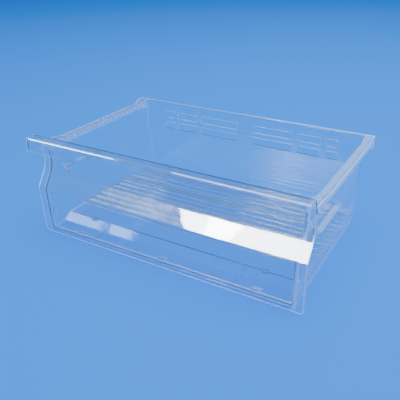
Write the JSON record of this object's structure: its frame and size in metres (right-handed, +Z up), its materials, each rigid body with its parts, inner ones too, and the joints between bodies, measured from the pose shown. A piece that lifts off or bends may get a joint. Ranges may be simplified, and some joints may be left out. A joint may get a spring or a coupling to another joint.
{
  "type": "fridge drawer",
  "caption": "Clear open-top freezer drawer: a moulded tub with ribbed slide rims, a corrugated stepped floor and vented back, closed by a clip-on front panel with a grip bar.",
  "frame": {"origin": "middle of the standing face, under the centre of the bounding box", "axes": "+X across the width, to the right seen from the front; -Y out of the front panel; +Z up"},
  "size_m": [0.46, 0.3099, 0.169],
  "materials": {
    "tub_clear": "clear moulded polystyrene, glossy, frosted on the rims",
    "panel_clear": "clear moulded polystyrene, glossy"
  },
  "bodies": {
    "root": {"drawer_tub": "tub_clear", "front_panel": "panel_clear"}
  },
  "joints": []
}
